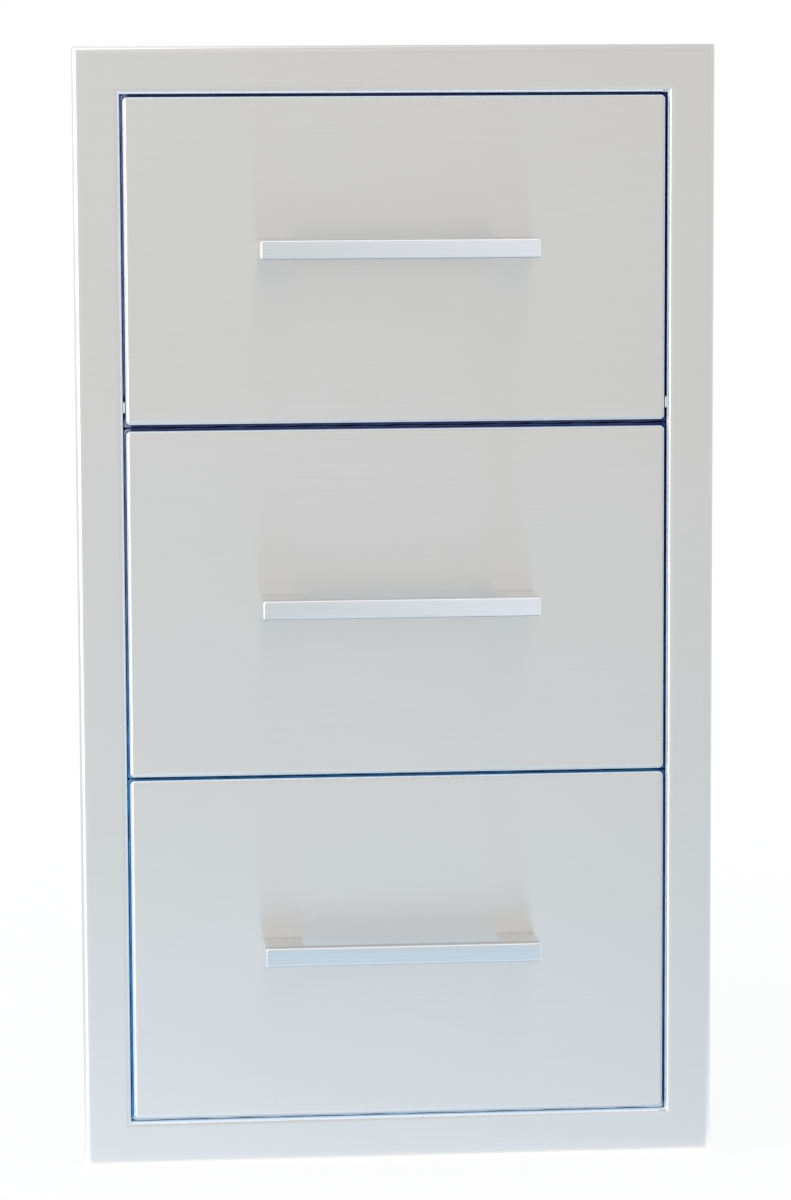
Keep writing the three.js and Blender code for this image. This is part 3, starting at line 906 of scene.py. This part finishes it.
RIVET_RADIUS = 3.2 * MM
RIVET_HEIGHT = 1 * MM
RIVET_SINK = 0.3 * MM
rivet_profile = [(0, -RIVET_SINK), (RIVET_RADIUS, -RIVET_SINK)] + dome(RIVET_RADIUS, RIVET_HEIGHT)
rivet_pattern = turned("rivet_pattern", rivet_profile, 20)
BALL_RADIUS = 2 * MM
BALL_STEPS = 6
ball_arc = [math.pi * k / BALL_STEPS for k in range(1, BALL_STEPS)]
ball_profile = [(BALL_RADIUS * math.sin(a), -BALL_RADIUS * math.cos(a)) for a in ball_arc]
ball_pattern = turned("ball_pattern", [(0, -BALL_RADIUS), *ball_profile, (0, BALL_RADIUS)], 10)
patterns = [screw_pattern, rivet_pattern, ball_pattern]
print("patterns:", [(pattern.name, len(pattern.data.polygons)) for pattern in patterns])

# %% [markdown]
# ## Geometry Nodes: rows of a pattern
#
# Screws, rivets and balls stand in rows. One tree makes a line of points, repeats it as rows beside each
# other, and puts the pattern on every point, turned to face out of its sheet. The same rule with a
# Boolean at its end punches the holes into the slide rails.

# %% The trees for rows and for punched holes
def row_points(sheet, wires):
    """Points in rows: a line of them, repeated along a second step."""
    first = {"Count": wires["Count A"], "Offset": wires["Step A"], "Start Location": wires["Start"]}
    second = {"Count": wires["Count B"], "Offset": wires["Step B"]}
    line, stations = (sheet.add("GeometryNodeMeshLine", {"mode": "OFFSET"}, way) for way in (first, second))
    rows = sheet.add("GeometryNodeInstanceOnPoints", {}, {"Points": stations, "Instance": line})
    return sheet.add("GeometryNodeRealizeInstances", {}, {0: rows})


ROW_SOCKETS = {"Pattern": "Object", "Start": "Vector", "Count A": "Int", "Count B": "Int"}
ROW_SOCKETS |= {"Step A": "Vector", "Step B": "Vector", "Turn": "Vector", "Material": "Material"}


def rows_tree(name, punching):
    tree, sheet, wires = new_tree(name, ROW_SOCKETS)
    pattern = sheet.add("GeometryNodeObjectInfo", {}, {"Object": wires["Pattern"]}, "Geometry")
    inputs = {"Points": row_points(sheet, wires), "Instance": pattern, "Rotation": wires["Turn"]}
    placed = sheet.add("GeometryNodeInstanceOnPoints", {}, inputs)
    if punching:
        solid = sheet.add("GeometryNodeRealizeInstances", {}, {0: placed})
        settings = {"operation": "DIFFERENCE", "solver": "EXACT"}
        placed = sheet.add("GeometryNodeMeshBoolean", settings, {0: wires["Geometry"], 1: solid})
    close_tree(sheet, placed, wires["Material"])
    return tree


rows_of = rows_tree("rows_of_a_pattern", False)
punched = rows_tree("rows_of_holes", True)
SMALL_PART_ANGLE = 40


def lay_rows(name, pattern, start, counts, steps, turn, material):
    piece = link(name, bpy.data.meshes.new(name))
    run_tree(piece, rows_of, pattern, start, *counts, *steps, turn, material)
    return smooth(piece, SMALL_PART_ANGLE)


FACING_BACK = (-math.pi / 2, 0, 0)
NO_TURN = NO_STEP = (0, 0, 0)
for level in LEVELS:
    (x_left, z), (x_right, _) = screw_places(level)
    start = (x_left, screw_hi.y - HEAD_HEIGHT, z)
    steps = ((x_right - x_left, 0, 0), NO_STEP)
    name = "handle_screws_" + level
    screws = lay_rows(name, screw_pattern, start, (2, 1), steps, FACING_BACK, screw_steel)
    replaced = [f"handle_screw_{level}_{hand}" for hand in HANDS]
    dress(screws, "drawer_" + level, "screw_steel", *replaced)
    print("screws", level, len(screws.data.polygons), "faces")

# %% [markdown]
# ## The slides
#
# Each slide has three rails that run inside each other. The cabinet rail is a wide channel with curled
# lips, the middle rail runs in it on two rows of balls, and the drawer rail runs in the middle one on two
# more. The rails are drawn out along y from a folded section like the frame's, and then punched. The
# cages are thin strip with twenty balls to a row.

# %% Rails, cages and balls
RAIL_SHEET = 1.2 * MM
RAIL_BEND = 0.6 * MM
RAIL_CURL = 3 * MM
CAGE_SHEET = 0.6 * MM
CAGE_BEND = 0.2 * MM
BALLS_PER_ROW = 20
HOLE_RADIUS = 2.6 * MM


def drawn_out(name, outline, low, high):
    """Draws a closed outline in x and z out along y."""
    work = bmesh.new()
    ends = [[work.verts.new((p.x, y, p.y)) for p in outline] for y in (low, high)]
    work.faces.new(ends[0])
    work.faces.new(ends[1][::-1])
    for k in range(len(outline)):
        after = (k + 1) % len(outline)
        work.faces.new((ends[0][k], ends[1][k], ends[1][after], ends[0][after]))
    bmesh.ops.recalc_face_normals(work, faces=work.faces)
    return made(name, work)


def rail_outline(node, side, kind):
    """A rail's outline from the box of its solid. Widths run from the cabinet's side inwards."""
    lo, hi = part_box(node)
    wide = hi.x - lo.x
    half = (hi.z - lo.z) / 2
    level = (lo.z + hi.z) / 2
    wall = max(abs(lo.x), abs(hi.x))
    sheet, bend, steps = RAIL_SHEET, RAIL_BEND, 4
    if kind == "cage":
        half -= BALL_RADIUS - CAGE_SHEET / 2
        sheet, bend, steps = CAGE_SHEET, CAGE_BEND, 2
    path = [(wide, half), (0, half), (0, -half), (wide, -half)]
    if kind == "cabinet":
        lip = half - RAIL_CURL
        path = [(wide, lip), *path, (wide, -lip)]
    elif kind == "drawer":
        path = [(0, -half), (wide, -half), (wide, half), (0, half)]
    return [Vector((side * (wall - p.x), level + p.y)) for p in folded(path, sheet, bend, steps)]


HOLE_PLANS = {"cabinet": (7, 64), "middle": (5, 84), "drawer": (5, 96)}
RAIL_BODIES = {"cabinet": "cabinet", "middle": "middle_rails_{}", "drawer": "drawer_{}"}
DRILL_REACH = 8 * MM
ACROSS = (0, 0, math.pi / 2)
drill = rod("drill", HOLE_RADIUS, Vector((0, -DRILL_REACH, 0)), Vector((0, DRILL_REACH, 0)), 16)
patterns.append(drill)


def lay_rail(kind, level, hand, side):
    node = f"slide_{kind}_member_{level}_{hand}"
    lo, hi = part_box(node)
    outline = rail_outline(node, side, kind)
    rail = drawn_out(f"slide_{kind}_rail_{level}_{hand}", outline, lo.y, hi.y)
    count, pitch = HOLE_PLANS[kind]
    web = lo.x if (side > 0) == (kind == "drawer") else hi.x
    first = (lo.y + hi.y - (count - 1) * pitch * MM) / 2
    start = (web, first, (lo.z + hi.z) / 2)
    run_tree(rail, punched, drill, start, count, 1, (0, pitch * MM, 0), NO_STEP, ACROSS, zinc)
    smooth(rail)
    dress(rail, RAIL_BODIES[kind].format(level), "slide_steel", node)


def lay_cage(kind, level, hand, side):
    node = f"ball_cage_{kind}_{level}_{hand}"
    lo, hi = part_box(node)
    outline = rail_outline(node, side, "cage")
    cage = drawn_out(f"ball_strip_{kind}_{level}_{hand}", outline, lo.y, hi.y)
    cage.data.materials.append(zinc)
    smooth(cage)
    dress(cage, f"{kind}_cages_{level}", "ball_steel", node)
    pitch = (hi.y - lo.y) / BALLS_PER_ROW
    middle = lo.x + BALL_RADIUS if side > 0 else hi.x - BALL_RADIUS
    start = (middle, lo.y + pitch / 2, lo.z + BALL_RADIUS)
    steps = ((0, pitch, 0), (0, 0, hi.z - lo.z - 2 * BALL_RADIUS))
    name = f"balls_{kind}_{level}_{hand}"
    balls = lay_rows(name, ball_pattern, start, (BALLS_PER_ROW, 2), steps, NO_TURN, ball_steel)
    dress(balls, f"{kind}_cages_{level}", "ball_steel")


for level in LEVELS:
    for hand, side in HANDS.items():
        for kind in HOLE_PLANS:
            lay_rail(kind, level, hand, side)
        for kind in ("outer", "inner"):
            lay_cage(kind, level, hand, side)
print("slides:", len(HOLE_PLANS) * 6, "rails and", 12 * 2 * BALLS_PER_ROW, "balls")

# %% [markdown]
# ## Rivets
#
# The cabinet is riveted along its top, its bottom and its back, and each slide is riveted to the
# cabinet's side and to the drawer's side. The heads are outside the cabinet and inside the drawers.

# %% Rows of rivets
lid_lo, lid_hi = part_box("cabinet_top")
base_lo, base_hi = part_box("cabinet_bottom")
back_lo, back_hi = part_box("cabinet_back")
_, side_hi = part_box("cabinet_side_right")
RIVET_INSET = 7.5 * MM
LID_RIVETS, LID_MARGIN = 7, 30 * MM
BACK_RIVETS, BACK_MARGIN = 8, 60 * MM
SLIDE_RIVETS, SLIDE_MARGIN, SLIDE_PITCH = 4, 33 * MM, 128 * MM
DRAWER_WALL = 1 * MM


def lay_rivets(name, body, start, counts, steps, side):
    """Rows of rivets with their heads to one side."""
    turn = (0, side * math.pi / 2, 0)
    rivets = lay_rows(name, rivet_pattern, start, counts, steps, turn, screw_steel)
    dress(rivets, body, "screw_steel")


for hand, side in HANDS.items():
    pitch = (lid_hi.y - lid_lo.y - 2 * LID_MARGIN) / (LID_RIVETS - 1)
    start = (side * lid_hi.x, lid_lo.y + LID_MARGIN, base_hi.z - RIVET_INSET)
    steps = ((0, pitch, 0), (0, 0, lid_lo.z - base_hi.z + 2 * RIVET_INSET))
    lay_rivets(f"lid_rivets_{hand}", "cabinet", start, (LID_RIVETS, 2), steps, side)
    pitch = (back_hi.z - back_lo.z - 2 * BACK_MARGIN) / (BACK_RIVETS - 1)
    start = (side * side_hi.x, back_hi.y - RIVET_INSET, back_lo.z + BACK_MARGIN)
    steps = ((0, 0, pitch), NO_STEP)
    lay_rivets(f"back_rivets_{hand}", "cabinet", start, (BACK_RIVETS, 1), steps, side)
    steps = ((0, SLIDE_PITCH, 0), NO_STEP)
    for level in LEVELS:
        rail_lo, rail_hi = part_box(f"slide_cabinet_member_{level}_{hand}")
        _, body_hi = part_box("drawer_body_" + level)
        along, height = rail_lo.y + SLIDE_MARGIN, (rail_lo.z + rail_hi.z) / 2
        counts = (SLIDE_RIVETS, 1)
        start = (side * side_hi.x, along, height)
        lay_rivets(f"slide_rivets_{level}_{hand}", "cabinet", start, counts, steps, side)
        start = (side * (body_hi.x - DRAWER_WALL), along, height)
        lay_rivets(f"drawer_rivets_{level}_{hand}", "drawer_" + level, start, counts, steps, -side)
for pattern in patterns:
    bpy.data.objects.remove(pattern)
print("rivets laid, patterns cleared away")

# %% [markdown]
# ## The solids that keep their shape
#
# The panels, the drawer bodies and the bumpers have the right shape and only get a finish.

# %% Finishes on the solids that stay
kept = {"nylon": nylon, "mill_steel": mill_steel}
slots = {part["node"]: part["material_slot"] for part in frame["record"]["subparts"]}
for name, solid in nodes.items():
    if not solid.hide_render:
        solid.data.materials.clear()
        solid.data.materials.append(kept[slots[name]])
print("solids kept:", sorted(name for name, solid in nodes.items() if not solid.hide_render))

# %% [markdown]
# ## Floor and sill
#
# The photograph has a plain white ground. The floor is pale and keeps the soft shadow near the unit. In
# reflections it glows, with a bright strip at the frame's foot that keeps the lower bend white. A low
# pale block under the cabinet stands for the sill of the island's cut-out.

# %% Floor and sill
CLEAR = 0.2 * MM
FLOOR = frame_lo.z - CLEAR
FLOOR_REACH = 9
SILL_LOW = Vector((-170 * MM, 4 * MM, FLOOR))
SILL_HIGH = Vector((170 * MM, 498 * MM, base_lo.z - CLEAR))
WHITE = (1, 1, 1, 1)
FLOOR_TONES = ((0.92, 0.92, 0.92, 1), (0.96, 0.96, 0.96, 1))
FLOOR_FAR = (0.87, 1, 1.09, 1)
FLOOR_LEFT = (1.24, 1.42, 1.63, 1)
FLOOR_RIGHT = (0.97, 1.14, 1.34, 1)
FLOOR_STRIP = (1.85, 1.85, 1.85, 1)
STRIP_START = (-21 * MM, -18 * MM)
STRIP_END = 10 * MM

floor_sheet = bpy.data.meshes.new("floor")
corners = [(x * FLOOR_REACH, y * FLOOR_REACH, FLOOR) for x, y in ((-1, -1), (1, -1), (1, 1), (-1, 1))]
floor_sheet.from_pydata(corners, [], [(0, 1, 2, 3)])
floor = link("floor", floor_sheet)
sill = rounded_block("sill", SILL_LOW, SILL_HIGH, 1 * MM, 2)


def ray_kinds(sheet):
    """Whether a ray comes from the camera, and whether from a mirror or glass."""
    kinds = sheet.add("ShaderNodeLightPath", {}, {}, "Is Camera Ray")
    outputs = kinds.socket.node.outputs
    mirror = Wire(sheet, outputs["Is Glossy Ray"]).or_more(Wire(sheet, outputs["Is Transmission Ray"]))
    return kinds, mirror


def blend(sheet, share, first, second):
    return sheet.add("ShaderNodeMixShader", {}, {0: share, 1: first, 2: second})


def glow(sheet, colour):
    return sheet.add("ShaderNodeEmission", {}, {"Color": colour})


def pale_ground(name):
    sheet, place = start_finish(name)
    x, y, _ = place.parts()
    square = x * x + y * y
    away = square.math("SQRT", square)
    seen, mirrored = ray_kinds(sheet)
    grainy = noise(sheet, place, 40, 3)
    matt = sheet.add("ShaderNodeBsdfDiffuse", {}, {"Color": grainy.tint(*FLOOR_TONES)})
    white, far = glow(sheet, WHITE), glow(sheet, FLOOR_FAR)
    near = blend(sheet, x.between(-0.5, 0.6), glow(sheet, FLOOR_LEFT), glow(sheet, FLOOR_RIGHT))
    strip = y.between(*STRIP_START) * (y < STRIP_END)
    near = blend(sheet, strip, near, glow(sheet, FLOOR_STRIP))
    pool = blend(sheet, away.between(0.9, 2.2), blend(sheet, away.between(0.3, 0.75), near, far), white)
    share = mirrored.or_more(seen * (0.88 + 0.12 * away.between(0.5, 1.8)))
    ground = blend(sheet, share, matt, blend(sheet, mirrored, white, pool))
    sheet.add("ShaderNodeOutputMaterial", {}, {"Surface": ground})
    return sheet.material


pale = pale_ground("pale_ground")
for thing in (floor, sill):
    thing.data.materials.append(pale)
print("floor at", round(FLOOR / MM, 1), "mm")

# %% [markdown]
# ## Light
#
# The light is soft and strongest on the left. One large lamp stands for the window. The world gives an
# even light and is white to the camera, and in reflections it is a room that is brightest on the left.

# %% Lamp and world
LAMP_PLACE = Vector((-2.6, -1.1, 1.0))
LAMP_AIM = Vector((0, 0, 0.4))
ROOM_LEFT = (1.075, 1.065, 1.055, 1)
ROOM_RIGHT = (0.965, 0.945, 0.925, 1)
ROOM_BESIDE_LEFT = (1.4, 1.44, 1.48, 1)
ROOM_BESIDE_RIGHT = (1, 1.02, 1.06, 1)
EVEN_LIGHT = (0.94, 0.97, 1, 1)

light = bpy.data.lights.new("window_left", "AREA")
light.shape = "RECTANGLE"
light.size, light.size_y = 1.8, 2.4
light.energy = 34
light.color = (1, 0.99, 0.97)
lamp = link("window_left", light)
lamp.location = LAMP_PLACE
lamp.rotation_euler = (LAMP_AIM - LAMP_PLACE).to_track_quat("-Z", "Y").to_euler()

world = bpy.data.worlds.new("studio")
world.use_nodes = True
bpy.context.scene.world = world
sheet = Sheet(world.node_tree)
seen, mirrored = ray_kinds(sheet)
direction = sheet.add("ShaderNodeTexCoord", {}, {}, "Generated")
x, y, _ = direction.parts()


def backdrop(colour):
    return sheet.add("ShaderNodeBackground", {}, {"Color": colour})


ahead_of_it = blend(sheet, x.between(-0.05, 0.25), backdrop(ROOM_LEFT), backdrop(ROOM_RIGHT))
beside_it = blend(sheet, x.between(-0.3, 0.3), backdrop(ROOM_BESIDE_LEFT), backdrop(ROOM_BESIDE_RIGHT))
room = blend(sheet, (y + 1).between(0.12, 0.6), ahead_of_it, beside_it)
lit = blend(sheet, mirrored, backdrop(EVEN_LIGHT), room)
final = blend(sheet, seen, lit, backdrop(WHITE))
sheet.add("ShaderNodeOutputWorld", {}, {"Surface": final})
bpy.context.scene.view_settings.view_transform = "Standard"
print("one lamp and a world of", len(sheet.tree.nodes), "nodes")
